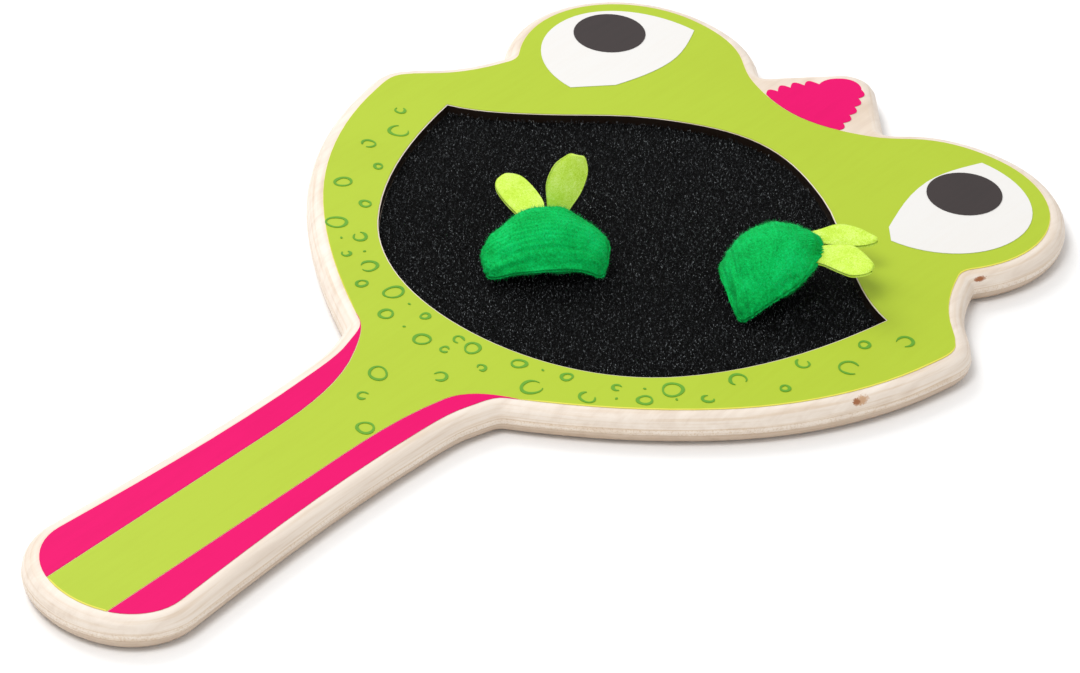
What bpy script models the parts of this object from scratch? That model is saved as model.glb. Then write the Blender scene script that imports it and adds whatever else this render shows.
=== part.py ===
# Hook and loop catch set: a plywood paddle cut as a frog's head on a handle, with a pad of
# hook tape in its open mouth, and two small stuffed knitted bugs that cling to the pad.
# Metres, +Z up, +Y from the handle to the tuft. The underside lies on z = 0.

import math

import bmesh
import bpy
from mathutils import Matrix, Vector

MM = 0.001

# Paddle board, flat birch plywood with its whole edge rounded over
BOARD_THICKNESS = 8.0 * MM
EDGE_RADIUS = 3.8 * MM
PRINT_MARGIN = 0.4 * MM

# Handle, its half widths from the middle line and its drops from the jaw's root
HANDLE_LENGTH = 121.5 * MM
HANDLE_HALF = 19.1 * MM
HANDLE_END_HALF = 9.3 * MM
HANDLE_END_HEIGHT = 1.8 * MM
HANDLE_END_RISE = 15.8 * MM
NECK_HALF = 17.0 * MM
NECK_DROP = 23.5 * MM
NECK_FILLET_HALF = 19.0 * MM
NECK_FILLET_DROP = 9.0 * MM
JAW_ROOT_HALF = 23.6 * MM

# Head, inset from its widest half, each rise from the place before it up to the eye's top
HEAD_HALF = 90.0 * MM
JAW_INSET = 26.0 * MM
JAW_RISE = 31.0 * MM
CHEEK_RISE = 49.0 * MM
CHEEK_CORNER = 9.5 * MM
HOLLOW_INSET = 7.1 * MM
HOLLOW_RISE = 17.1 * MM
NOTCH_INSET = 17.6 * MM
NOTCH_RISE = 19.6 * MM
INNER_CORNER = 1.2 * MM
EYE_INSET = 10.2 * MM
EYE_RISE = 22.2 * MM
EYE_TOP_INSET = 39.0 * MM
EYE_TOP_RISE = 25.0 * MM
BROW_HALF = 28.1 * MM
BROW_DROP = 7.0 * MM
VALLEY_DROP = 11.8 * MM

# Tuft between the eyes, which rises from the valley
TUFT_ROOT_HALF = 19.3 * MM
TUFT_ROOT_RISE = 5.3 * MM
TUFT_RISE = 24.3 * MM
TUFT_SHOULDER_HALF = 3.5 * MM
TUFT_SHOULDER_DROP = 1.6 * MM

# Pink patch on the tuft: scalloped up its two sides to a smooth crown
PATCH_LEFT_HALF = 12.6 * MM
PATCH_LEFT_TIP_HALF = 5.8 * MM
PATCH_LEFT_TIP_DROP = 7.8 * MM
PATCH_LEFT_BOW = 1.3 * MM
PATCH_LEFT_SCALLOP = 2.0 * MM
PATCH_LEFT_SCALLOPS = 4
PATCH_RIGHT_HALF = 11.0 * MM
PATCH_RIGHT_TIP_HALF = 4.0 * MM
PATCH_RIGHT_TIP_DROP = 2.3 * MM
PATCH_RIGHT_BOW = 0.9 * MM
PATCH_RIGHT_SCALLOP = 1.3 * MM
PATCH_RIGHT_SCALLOPS = 5
PATCH_CROWN_HALF = 4.4 * MM
PATCH_CROWN_DROP = 2.7 * MM
PATCH_PEAK_DROP = 0.3 * MM
SCALLOP_POINTS = 8

# Mouth: a recess with straight walls that holds the hook pad, inset from the jaw and cheek
MOUTH_RISE = 14.4 * MM
MOUTH_JAW_INSET = 15.2 * MM
MOUTH_JAW_RISE = 3.9 * MM
MOUTH_CORNER_INSET = 18.8 * MM
MOUTH_CORNER_RISE = 6.8 * MM
LIP_LOW_INSET = 21.0 * MM
LIP_LOW_RISE = 13.3 * MM
LIP_HIGH_INSET = 22.5 * MM
LIP_HIGH_RISE = 18.5 * MM
MOUTH_TOP_RISE = 9.5 * MM
PAD_THICKNESS = 1.6 * MM
PAD_SETBACK = 1.2 * MM
PAD_CLEARANCE = 0.3 * MM

# Print: thin films of ink, each a little clear of what it is printed on
FILM_THICKNESS = 0.12 * MM
FILM_GAP = 0.03 * MM
MOUTH_HAIRLINE = 0.3 * MM
FIELD_HAIRLINE = 0.25 * MM

# Handle stripes, on each side of a lime band that was printed a little to the right and
# whose flare below the jaw lies a little to the left
BAND_HALF = 9.3 * MM
BAND_SHIFT = 0.75 * MM
BAND_LENGTH = 66.0 * MM
BAND_MARGIN = 0.2 * MM
STRIPE_FLARE_HALF = 14.4 * MM
STRIPE_FLARE_SHIFT = 1.3 * MM
STRIPE_FLARE_DROP = 10.5 * MM
STRIPE_TIP_OUTSET = 2.4 * MM
STRIPE_TIP_RISE = 1.43 * MM

# Eyes: each white has a corner at its top, its foot and its inner side. The left one is larger
WHITE_TOP_INSET = 3.55 * MM
WHITE_TOP_DROP = 4.0 * MM
WHITE_OUTER_INSET = 4.55 * MM
WHITE_OUTER_DROP = 0.4 * MM
WHITE_FOOT_OUTSET = 1.4 * MM
WHITE_FOOT_DROP = 23.7 * MM
WHITE_INNER_INSET = 8.8 * MM
WHITE_INNER_RISE = 4.1 * MM
WHITE_KINK_INSET = 4.6 * MM
WHITE_KINK_DROP = 16.9 * MM
WHITE_GROWTH = 0.6 * MM
WHITE_KINK_SLIDE = 1.4 * MM
WHITE_KINK_LIFT = 2.3 * MM
PUPIL_RADIUS = 9.7 * MM
PUPIL_SIDES = 40
LEFT_PUPIL_OUTSET = 11.6 * MM
LEFT_PUPIL_RISE = 4.2 * MM
RIGHT_PUPIL_OUTSET = 2.2 * MM
RIGHT_PUPIL_RISE = 6.0 * MM

# Skin rings, scattered in two lanes below the mouth and down the throat
RING_STEPS = 8
RING_LANE_OFFSET = 4.6 * MM
RING_LANE_PITCH = 5.6 * MM
RING_LANE_STAGGER = 0.5
RING_SIDE_STAGGER = 0.35
RING_WANDER = 0.85 * MM
RING_WANDER_TURN = 2.4
RING_RADII = (1.5 * MM, 2.1 * MM, 1.3 * MM, 1.8 * MM, 2.5 * MM)
RING_LINE = 0.55 * MM
RING_SIDES = 12
THROAT_DROP = 9.9 * MM
THROAT_PITCH = 9.0 * MM
THROAT_RINGS = 5
THROAT_SWING = 7.0 * MM
THROAT_TURN = 2.0

# Stuffed bugs: two knitted half-round panels sewn along their edges
BUG_WIDTH = 33.0 * MM
BUG_DEPTH = 22.5 * MM
BUG_APEX_HALF = 4.0 * MM
BUG_TAPER = 2.3
BUG_TOP = 9.2 * MM
BUG_BELLY = 4.4 * MM
BUG_PEAK = 0.42
BUG_PLUMPNESS = 2.6
BUG_RIM = 0.7 * MM
BUG_HEM_DROP = 3.6 * MM
BUG_HEM_ARCH = 6.8 * MM
BUG_HEM_BULGE = 2.4 * MM
BUG_GAP = 0.3 * MM
WING_LENGTH = 18.2 * MM
WING_WIDTH = 9.4 * MM
WING_WIDEST = 0.62
WING_TIP_WIDTH = 4.4 * MM
WING_TIP_CROWN = 0.4 * MM
WING_ROOT_WIDTH = 4.4 * MM
WING_THICKNESS = 1.2 * MM
WING_SEWN = 3.2 * MM
WING_ROOT_RISE = 0.6 * MM
WING_GAP = 0.3 * MM

# Where the middle of each bug's straight edge lies, above the mouth's foot, and its wing roots
FIRST_BUG_ACROSS = -0.6 * MM
FIRST_BUG_RISE = 29.1 * MM
FIRST_LEFT_ROOT = -1.9 * MM
FIRST_RIGHT_ROOT = 3.1 * MM
SECOND_BUG_ACROSS = 33.1 * MM
SECOND_BUG_RISE = 59.5 * MM
SECOND_LEFT_ROOT = -4.0 * MM
SECOND_RIGHT_ROOT = 3.2 * MM

# How fine a curved edge is cut into straight ones, and the smallest bend shown as one
CHORD_ERROR = 0.03 * MM
STRAIGHT = math.radians(0.5)
EDGE_STEPS = 3
WIDEST_STEP = 0.9
SHARPEST_LEAN = 0.3
CREASE = math.radians(35)

# Points closer than this are one point
WELD = 0.001 * MM

# Heights from the handle's printed end
NECK_HEIGHT = HANDLE_LENGTH - NECK_DROP
NECK_FILLET_HEIGHT = HANDLE_LENGTH - NECK_FILLET_DROP
JAW_HALF = HEAD_HALF - JAW_INSET
JAW_HEIGHT = HANDLE_LENGTH + JAW_RISE
CHEEK_HEIGHT = JAW_HEIGHT + CHEEK_RISE
HOLLOW_HEIGHT = CHEEK_HEIGHT + HOLLOW_RISE
NOTCH_HEIGHT = HOLLOW_HEIGHT + NOTCH_RISE
EYE_HALF = HEAD_HALF - EYE_INSET
EYE_HEIGHT = NOTCH_HEIGHT + EYE_RISE
EYE_TOP_HALF = HEAD_HALF - EYE_TOP_INSET
HEAD_TOP = EYE_HEIGHT + EYE_TOP_RISE
BROW_HEIGHT = HEAD_TOP - BROW_DROP
VALLEY_HEIGHT = BROW_HEIGHT - VALLEY_DROP
TUFT_ROOT_HEIGHT = VALLEY_HEIGHT + TUFT_ROOT_RISE
TUFT_TOP = VALLEY_HEIGHT + TUFT_RISE
TUFT_SHOULDER_HEIGHT = TUFT_TOP - TUFT_SHOULDER_DROP
MOUTH_BOTTOM = HANDLE_LENGTH + MOUTH_RISE
MOUTH_CORNER_HALF = HEAD_HALF - MOUTH_CORNER_INSET
MOUTH_CORNER_HEIGHT = CHEEK_HEIGHT + MOUTH_CORNER_RISE
LIP_LOW_HALF = MOUTH_CORNER_HALF - LIP_LOW_INSET
LIP_LOW_HEIGHT = MOUTH_CORNER_HEIGHT + LIP_LOW_RISE
LIP_HIGH_HALF = LIP_LOW_HALF - LIP_HIGH_INSET
LIP_HIGH_HEIGHT = LIP_LOW_HEIGHT + LIP_HIGH_RISE
MOUTH_TOP = LIP_HIGH_HEIGHT + MOUTH_TOP_RISE
STRIPE_TIP = (JAW_ROOT_HALF + STRIPE_TIP_OUTSET, HANDLE_LENGTH + STRIPE_TIP_RISE)

BOARD_TOP = BOARD_THICKNESS
PAD_TOP = BOARD_TOP - PAD_SETBACK
PAD_BOTTOM = PAD_TOP - PAD_THICKNESS
RECESS_FLOOR = PAD_BOTTOM - PAD_CLEARANCE
INK_BOTTOM = BOARD_TOP + FILM_GAP
SECOND_INK_BOTTOM = INK_BOTTOM + FILM_THICKNESS + FILM_GAP
THIRD_INK_BOTTOM = SECOND_INK_BOTTOM + FILM_THICKNESS + FILM_GAP

# An inner corner is never tighter than the rounded edge that runs round it
CORNER_RADIUS = EDGE_RADIUS + PRINT_MARGIN + INNER_CORNER

# The middle of the board's length, which comes to y = 0
MIDDLE = TUFT_TOP / 2


def stretch(start, finish):
    """Points of a smooth bend from one headed knot to the next, without the last point."""
    first = Vector(start[:2])
    last = Vector(finish[:2])
    leaving = math.radians(start[-1])
    arriving = math.radians(finish[2])
    turn = abs((arriving - leaving + math.pi) % (2 * math.pi) - math.pi)
    chord = (last - first).length
    if turn < STRAIGHT:
        return [first]
    radius = chord / (2 * math.sin(turn / 2))
    reach = radius * (4 / 3) * math.tan(turn / 4)
    step = 2 * math.acos(max(1 - CHORD_ERROR / radius, WIDEST_STEP))
    count = max(2, math.ceil(turn / step))
    near = first + reach * Vector((math.cos(leaving), math.sin(leaving)))
    far = last - reach * Vector((math.cos(arriving), math.sin(arriving)))
    points = []
    for index in range(count):
        t = index / count
        u = 1 - t
        points.append(u**3 * first + 3 * u**2 * t * near + 3 * u * t**2 * far + t**3 * last)
    return points


def trace(knots):
    """Points along knots (x, y, heading), or (x, y, arriving, leaving) at a corner."""
    points = []
    for start, finish in zip(knots, knots[1:]):
        points += stretch(start, finish)
    return points + [Vector(knots[-1][:2])]


def rounded(x, y, arriving, leaving, radius):
    """The two knots of a corner at x, y that is rounded to a radius."""
    turn = abs((leaving - arriving + 180) % 360 - 180)
    back = radius * math.tan(math.radians(turn) / 2)
    before = math.radians(arriving)
    after = math.radians(leaving)
    return [
        (x - back * math.cos(before), y - back * math.sin(before), arriving),
        (x + back * math.cos(after), y + back * math.sin(after), leaving),
    ]


def joined(right, left):
    """A closed outline from its right half and its left one, drawn as if on the right."""
    return right + [Vector((-p.x, p.y)) for p in reversed(left[1:-1])]


def mirrored(half):
    """A closed outline from its right half, which starts and ends on the middle line."""
    return joined(half, half)


def grown(outline, amount):
    """The outline moved outwards by an amount, with its corners kept."""
    points = []
    for index, here in enumerate(outline):
        before = (here - outline[index - 1]).normalized()
        after = (outline[(index + 1) % len(outline)] - here).normalized()
        bisector = (before + after).normalized()
        outward = Vector((bisector.y, -bisector.x))
        lean = max(bisector.dot(before), SHARPEST_LEAN)
        points.append(here + outward * amount / lean)
    return points


def make_material(name, colour, roughness):
    material = bpy.data.materials.new(name)
    material.use_nodes = True
    shader = material.node_tree.nodes["Principled BSDF"]
    shader.inputs["Base Color"].default_value = (*colour, 1.0)
    shader.inputs["Roughness"].default_value = roughness
    shader.inputs["Metallic"].default_value = 0.0
    material.diffuse_color = (*colour, 1.0)
    return material


def add_object(name, mesh, collection, parent=None):
    thing = bpy.data.objects.new(name, mesh)
    collection.objects.link(thing)
    thing.parent = parent
    return thing


def plate(name, outlines, bottom, thickness, collection, edge=0.0):
    """A flat piece from closed outlines, the first its rim and the rest its openings."""
    curve = bpy.data.curves.new(name, "CURVE")
    curve.dimensions = "2D"
    curve.fill_mode = "BOTH"
    curve.extrude = thickness / 2 - edge
    curve.bevel_depth = edge
    curve.bevel_resolution = EDGE_STEPS
    for outline in outlines:
        spline = curve.splines.new("POLY")
        spline.points.add(len(outline) - 1)
        for point, place in zip(spline.points, outline):
            point.co = (place.x, place.y - MIDDLE, 0.0, 1.0)
        spline.use_cyclic_u = True
    drawn = bpy.data.objects.new(name + "_outline", curve)
    collection.objects.link(drawn)
    drawn.location.z = bottom + thickness / 2
    bpy.context.view_layer.update()
    ready = drawn.evaluated_get(bpy.context.evaluated_depsgraph_get())
    mesh = bpy.data.meshes.new_from_object(ready)
    mesh.name = name
    welded = bmesh.new()
    welded.from_mesh(mesh)
    bmesh.ops.remove_doubles(welded, verts=welded.verts, dist=WELD)
    bmesh.ops.recalc_face_normals(welded, faces=welded.faces)
    welded.to_mesh(mesh)
    welded.free()
    solid = add_object(name, mesh, collection)
    solid.matrix_world = drawn.matrix_world
    bpy.data.objects.remove(drawn)
    return solid


def finish_piece(thing, material, parent):
    thing.data.materials.clear()
    thing.data.materials.append(material)
    thing.data.shade_smooth()
    thing.data.set_sharp_from_angle(angle=CREASE)
    thing.parent = parent


def cut(body, cutter):
    cutter.hide_render = True
    cutter.display_type = "WIRE"
    opening = body.modifiers.new(cutter.name, "BOOLEAN")
    opening.operation = "DIFFERENCE"
    opening.solver = "EXACT"
    opening.object = cutter


# The half outlines, each a chain of headed knots from the middle line round the right side
HANDLE_SIDE = [
    (0.0, 0.0, 0.0),
    (HANDLE_END_HALF, HANDLE_END_HEIGHT, 22.0),
    (HANDLE_HALF, HANDLE_END_RISE, 94.0),
    (NECK_HALF, NECK_HEIGHT, 87.0),
    (NECK_FILLET_HALF, NECK_FILLET_HEIGHT, 71.0),
    (JAW_ROOT_HALF, HANDLE_LENGTH, 30.5),
    (*STRIPE_TIP, 31.0),
]
HEAD_SIDE = [
    (*STRIPE_TIP, 31.0),
    (JAW_HALF, JAW_HEIGHT, 46.0),
    (HEAD_HALF, CHEEK_HEIGHT, 79.0),
    (HEAD_HALF, CHEEK_HEIGHT + CHEEK_CORNER, 122.0),
    (HEAD_HALF - HOLLOW_INSET, HOLLOW_HEIGHT, 133.5),
    *rounded(HEAD_HALF - NOTCH_INSET, NOTCH_HEIGHT, 109.0, 55.0, CORNER_RADIUS),
    (EYE_HALF, EYE_HEIGHT, 95.0),
    (EYE_TOP_HALF, HEAD_TOP, 178.5),
    (BROW_HALF, BROW_HEIGHT, 221.0),
]
VALLEY = [
    (BROW_HALF, BROW_HEIGHT, 221.0),
    (TUFT_ROOT_HALF, TUFT_ROOT_HEIGHT, 206.0),
    (0.0, VALLEY_HEIGHT, 180.0),
]
TUFT_SIDE = [
    (BROW_HALF, BROW_HEIGHT, 221.0),
    *rounded(TUFT_ROOT_HALF, TUFT_ROOT_HEIGHT, 210.0, 132.0, CORNER_RADIUS),
    (TUFT_SHOULDER_HALF, TUFT_SHOULDER_HEIGHT, 132.0),
    (0.0, TUFT_TOP, 180.0),
]
MOUTH_SIDE = [
    (0.0, MOUTH_BOTTOM, 0.0),
    (JAW_HALF - MOUTH_JAW_INSET, JAW_HEIGHT + MOUTH_JAW_RISE, 50.0),
    (MOUTH_CORNER_HALF, MOUTH_CORNER_HEIGHT, 79.0, 162.0),
    (LIP_LOW_HALF, LIP_LOW_HEIGHT, 141.0),
    (LIP_HIGH_HALF, LIP_HIGH_HEIGHT, 150.0),
    (0.0, MOUTH_TOP, 180.0),
]

for old in list(bpy.data.objects):
    bpy.data.objects.remove(old)
parts = bpy.data.collections.new("hook_and_loop_catch_set")
cutters = bpy.data.collections.new("cutters")
bpy.context.scene.collection.children.link(parts)
bpy.context.scene.collection.children.link(cutters)
paddle = add_object("paddle", None, parts)

birch = make_material("birch_plywood", (0.83, 0.69, 0.52), 0.55)
hook_tape = make_material("black_hook_tape", (0.012, 0.012, 0.014), 0.85)
lime_ink = make_material("lime_ink", (0.52, 0.70, 0.065), 0.4)
pink_ink = make_material("pink_ink", (0.87, 0.01, 0.19), 0.4)
white_ink = make_material("white_ink", (0.94, 0.93, 0.9), 0.4)
grey_ink = make_material("dark_grey_ink", (0.08, 0.07, 0.07), 0.4)
ring_ink = make_material("green_ink", (0.16, 0.45, 0.05), 0.4)
green_knit = make_material("green_knit", (0.003, 0.42, 0.09), 0.9)
lime_felt = make_material("lime_felt", (0.55, 0.83, 0.12), 0.95)


def build_board():
    outline = mirrored(trace(HANDLE_SIDE)[:-1] + trace(HEAD_SIDE)[:-1] + trace(TUFT_SIDE))
    board = plate("paddle_board", [grown(outline, PRINT_MARGIN)], 0.0, BOARD_THICKNESS, parts,
                  edge=EDGE_RADIUS)
    depth = BOARD_TOP - RECESS_FLOOR
    recess = plate("mouth_recess", [mirrored(trace(MOUTH_SIDE))], RECESS_FLOOR, 2 * depth, cutters)
    cut(board, recess)
    finish_piece(board, birch, paddle)


def build_hook_pad():
    outline = grown(mirrored(trace(MOUTH_SIDE)), -PAD_CLEARANCE)
    pad = plate("hook_pad", [outline], PAD_BOTTOM, PAD_THICKNESS, parts)
    finish_piece(pad, hook_tape, paddle)


def band_edge(side, clearance):
    """The band's edge on one side, from the handle's end up to the stripe's tip."""
    half = BAND_HALF + side * BAND_SHIFT - clearance
    flare = STRIPE_FLARE_HALF - side * STRIPE_FLARE_SHIFT - clearance
    rim = trace(HANDLE_SIDE)
    first = next(index for index, point in enumerate(rim) if point.x > half)
    before, after = rim[first - 1], rim[first]
    foot = before.lerp(after, (half - before.x) / (after.x - before.x))
    return [foot] + trace([
        (half, BAND_LENGTH, 90.0),
        (flare, HANDLE_LENGTH - STRIPE_FLARE_DROP, 68.5 + 7.5 * side),
        (*STRIPE_TIP, 22.0),
    ])


def lime_side(side):
    """Half of the lime field's rim, drawn as if on the right."""
    edge = band_edge(side, FIELD_HAIRLINE)
    end = [point for point in trace(HANDLE_SIDE) if point.x < edge[0].x - BAND_MARGIN]
    return end + edge[:-1] + trace(HEAD_SIDE)[:-1] + trace(VALLEY)


def build_lime_print():
    mouth = grown(mirrored(trace(MOUTH_SIDE)), MOUTH_HAIRLINE)
    rim = joined(lime_side(1), lime_side(-1))
    field = plate("lime_face_print", [rim, mouth], INK_BOTTOM, FILM_THICKNESS, parts)
    finish_piece(field, lime_ink, paddle)


def build_stripes():
    for name, side in (("left_handle_stripe", -1), ("right_handle_stripe", 1)):
        edge = band_edge(side, 0.0)
        rim = [point for point in trace(HANDLE_SIDE)[:-1] if point.x > edge[0].x + BAND_MARGIN]
        outline = [edge[0]] + rim + edge[:0:-1]
        if side < 0:
            outline = [Vector((-point.x, point.y)) for point in reversed(outline)]
        stripe = plate(name, [outline], INK_BOTTOM, FILM_THICKNESS, parts)
        finish_piece(stripe, pink_ink, paddle)


def scallops(foot, tip, count, bow, depth):
    """Points up a scalloped side from its foot to its tip, without either."""
    outward = Vector((tip.y - foot.y, foot.x - tip.x)).normalized()
    steps = SCALLOP_POINTS * count
    points = []
    for index in range(1, steps):
        t = index / steps
        lobe = bow * math.sin(math.pi * t) + depth * abs(math.sin(math.pi * count * t))
        points.append(foot.lerp(tip, t) + lobe * outward)
    return points


def patch_side(half, tip, count, bow, depth):
    """One side of the patch from the valley's middle to its tip, drawn as if on the right."""
    valley = [point + Vector((0.0, FIELD_HAIRLINE)) for point in trace(VALLEY) if point.x < half]
    foot = Vector((half, valley[0].y))
    return valley[::-1] + scallops(foot, tip, count, bow, depth) + [tip]


def build_tuft_print():
    left_tip = Vector((PATCH_LEFT_TIP_HALF, TUFT_TOP - PATCH_LEFT_TIP_DROP))
    right_tip = Vector((PATCH_RIGHT_TIP_HALF, TUFT_TOP - PATCH_RIGHT_TIP_DROP))
    left = patch_side(PATCH_LEFT_HALF, left_tip, PATCH_LEFT_SCALLOPS, PATCH_LEFT_BOW, PATCH_LEFT_SCALLOP)
    right = patch_side(PATCH_RIGHT_HALF, right_tip, PATCH_RIGHT_SCALLOPS, PATCH_RIGHT_BOW,
                       PATCH_RIGHT_SCALLOP)
    crown = trace([
        (*right_tip, 125.0),
        (0.0, TUFT_TOP - PATCH_PEAK_DROP, 180.0),
        (-PATCH_CROWN_HALF, TUFT_TOP - PATCH_CROWN_DROP, 228.0),
        (-left_tip.x, left_tip.y, 285.0),
    ])
    outline = right + crown[1:-1] + [Vector((-p.x, p.y)) for p in reversed(left[1:])]
    patch = plate("tuft_print", [outline], INK_BOTTOM, FILM_THICKNESS, parts)
    finish_piece(patch, pink_ink, paddle)


def circle(middle, radius, sides):
    spokes = [math.tau * index / sides for index in range(sides)]
    return [Vector(middle) + radius * Vector((math.cos(a), math.sin(a))) for a in spokes]


def white_outline(side):
    """An eye's white, drawn as if on the right: the left one's sides are spread further."""
    growth = -side * WHITE_GROWTH
    kink = (EYE_TOP_HALF - WHITE_KINK_INSET + side * WHITE_KINK_SLIDE,
            EYE_HEIGHT - WHITE_KINK_DROP - side * WHITE_KINK_LIFT)
    return trace([
        (EYE_TOP_HALF + WHITE_FOOT_OUTSET + growth, EYE_HEIGHT - WHITE_FOOT_DROP, 4.0),
        (EYE_HALF - WHITE_OUTER_INSET + growth, EYE_HEIGHT - WHITE_OUTER_DROP, 91.0),
        (EYE_TOP_HALF - WHITE_TOP_INSET - growth, HEAD_TOP - WHITE_TOP_DROP, 183.0, 245.0),
        (EYE_TOP_HALF - WHITE_INNER_INSET - growth, EYE_HEIGHT + WHITE_INNER_RISE, 268.0),
        (*kink, 288.0),
    ])


def build_eyes():
    left_pupil = (-EYE_TOP_HALF - LEFT_PUPIL_OUTSET, EYE_HEIGHT + LEFT_PUPIL_RISE)
    right_pupil = (EYE_TOP_HALF + RIGHT_PUPIL_OUTSET, EYE_HEIGHT + RIGHT_PUPIL_RISE)
    left = [Vector((-point.x, point.y)) for point in reversed(white_outline(-1))]
    for name, white, pupil in (("left", left, left_pupil), ("right", white_outline(1), right_pupil)):
        eye = plate(name + "_eye_white", [white], SECOND_INK_BOTTOM, FILM_THICKNESS, parts)
        finish_piece(eye, white_ink, paddle)
        rim = circle(pupil, PUPIL_RADIUS, PUPIL_SIDES)
        dot = plate(name + "_pupil", [rim], THIRD_INK_BOTTOM, FILM_THICKNESS, parts)
        finish_piece(dot, grey_ink, paddle)


def ring_places():
    """Middles of the skin rings: two lanes outside the lower mouth, then down the throat."""
    jaw = trace(MOUTH_SIDE[:3])
    places = []
    for side in (-1, 1):
        for step in range(RING_STEPS):
            for lane in range(2):
                stagger = RING_LANE_STAGGER * lane + RING_SIDE_STAGGER * (side > 0)
                along = (step + stagger) / RING_STEPS
                index = min(int(along * (len(jaw) - 1)), len(jaw) - 2)
                spot = jaw[index].lerp(jaw[index + 1], along * (len(jaw) - 1) - index)
                heading = (jaw[index + 1] - jaw[index]).normalized()
                outward = Vector((heading.y, -heading.x))
                wander = RING_WANDER * math.sin(RING_WANDER_TURN * len(places))
                spot = spot + outward * (RING_LANE_OFFSET + lane * RING_LANE_PITCH + wander)
                places.append(Vector((side * spot.x, spot.y)))
    for step in range(THROAT_RINGS):
        sway = THROAT_SWING * math.sin(THROAT_TURN * step)
        places.append(Vector((sway, MOUTH_BOTTOM - THROAT_DROP - THROAT_PITCH * step)))
    return places


def build_rings():
    for index, place in enumerate(ring_places()):
        radius = RING_RADII[index % len(RING_RADII)]
        outside = circle(place, radius, RING_SIDES)
        inside = circle(place, radius - RING_LINE, RING_SIDES)
        name = f"skin_ring_{index + 1:02d}"
        ring = plate(name, [outside, inside], SECOND_INK_BOTTOM, FILM_THICKNESS, parts)
        finish_piece(ring, ring_ink, paddle)


def bug_mesh(name):
    """A stuffed half-round pillow: its straight edge on y = 0, its seam at z = 0."""
    cage = bmesh.new()
    bmesh.ops.create_cube(cage, size=2.0)
    bmesh.ops.subdivide_edges(cage, edges=cage.edges, cuts=3, use_grid_fill=True)
    taper = 1 - (2 * BUG_APEX_HALF / BUG_WIDTH) ** 2
    for vertex in cage.verts:
        across, along, up = vertex.co
        t = (along + 1) / 2
        half = BUG_WIDTH / 2 * (1 - taper * t**BUG_TAPER) ** 0.5
        slope = (t - BUG_PEAK) / (BUG_PEAK if t < BUG_PEAK else 1 - BUG_PEAK)
        swell = max((1 - abs(slope)**BUG_PLUMPNESS) * (1 - abs(across)**BUG_PLUMPNESS), 0.0) ** 0.5
        height = BUG_TOP if up > 0 else BUG_BELLY
        hem = max(1 - t / BUG_PEAK, 0.0) ** 2
        middle = 1 - across**2
        seam = hem * (BUG_HEM_ARCH * middle - BUG_HEM_DROP)
        rise = up * (BUG_RIM + (height - BUG_RIM) * swell)
        vertex.co = (across * half, BUG_DEPTH * t - BUG_HEM_BULGE * hem * middle, seam + rise)
    mesh = bpy.data.meshes.new(name)
    cage.to_mesh(mesh)
    cage.free()
    return mesh


def stuffed(name, collection, seat, growth):
    """A bug's body on its seat, swollen all round by a growth."""
    body = add_object(name, bug_mesh(name), collection, seat)
    smooth = body.modifiers.new("stuffing", "SUBSURF")
    smooth.levels = 1
    smooth.render_levels = 1
    if growth:
        skin = body.modifiers.new("growth", "DISPLACE")
        skin.mid_level = 0.0
        skin.strength = growth
        body.modifiers.new("flat_faces", "TRIANGULATE")
    return body


def wing_outline():
    """A leaf with a blunt tip: its sewn root at y = 0, pointing along +Y."""
    shape = [
        (WING_ROOT_WIDTH / 2, 0.0, 80.0),
        (WING_WIDTH / 2, WING_LENGTH * WING_WIDEST, 92.0),
        (WING_TIP_WIDTH / 2, WING_LENGTH - WING_TIP_CROWN, 145.0),
        (0.0, WING_LENGTH, 180.0),
    ]
    return mirrored([Vector((0.0, 0.0))] + trace(shape))


def lowest(thing):
    """The height of an object's lowest point, with its modifiers."""
    bpy.context.view_layer.update()
    ready = thing.evaluated_get(bpy.context.evaluated_depsgraph_get())
    return min((thing.matrix_world @ vertex.co).z for vertex in ready.data.vertices)


def build_bug(name, middle, heading, tilt, roll, wings):
    """One bug: where the middle of its straight edge lies, how it is turned, and its wings."""
    seat = add_object(name, None, parts, paddle)
    seat.location = (middle[0], middle[1] - MIDDLE, 0.0)
    seat.rotation_euler = (math.radians(tilt), math.radians(roll), math.radians(heading - 90))
    body = stuffed(name + "_body", parts, seat, 0.0)
    seat.location.z = PAD_TOP + BUG_GAP - lowest(body)
    finish_piece(body, green_knit, seat)
    hollow = stuffed(name + "_wing_root_cutter", cutters, seat, WING_GAP)
    for side, (across, spread, lift, lean) in wings.items():
        wing = plate(f"{name}_{side}_wing", [wing_outline()], -WING_THICKNESS / 2, WING_THICKNESS, parts)
        finish_piece(wing, lime_felt, seat)
        wing.matrix_local = (
            Matrix.Translation((across, BUG_DEPTH - WING_SEWN, WING_ROOT_RISE))
            @ Matrix.Rotation(math.radians(-spread), 4, "Z")
            @ Matrix.Rotation(math.radians(lift), 4, "X")
            @ Matrix.Rotation(math.radians(-lean), 4, "Z")
            @ Matrix.Translation((0.0, MIDDLE, 0.0)))
        wing.modifiers.new("flat_faces", "TRIANGULATE")
        cut(wing, hollow)


build_board()
build_hook_pad()
build_lime_print()
build_stripes()
build_tuft_print()
build_eyes()
build_rings()

# Wing: its root across the seam, then its spread, lift and lean in degrees
build_bug("first_bug", (FIRST_BUG_ACROSS, MOUTH_BOTTOM + FIRST_BUG_RISE), 133.7, 4.0, -3.5, {
    "left": (FIRST_LEFT_ROOT, -18.0, 3.0, 0.0),
    "right": (FIRST_RIGHT_ROOT, 0.0, 66.0, 18.0),
})
build_bug("second_bug", (SECOND_BUG_ACROSS, MOUTH_BOTTOM + SECOND_BUG_RISE), 46.5, 21.0, 0.0, {
    "left": (SECOND_LEFT_ROOT, 8.5, -17.0, 0.0),
    "right": (SECOND_RIGHT_ROOT, 27.0, -10.0, 0.0),
})
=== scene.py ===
import math
import random

import bmesh
import bpy
import numpy as np
from mathutils import Matrix, Vector


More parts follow.
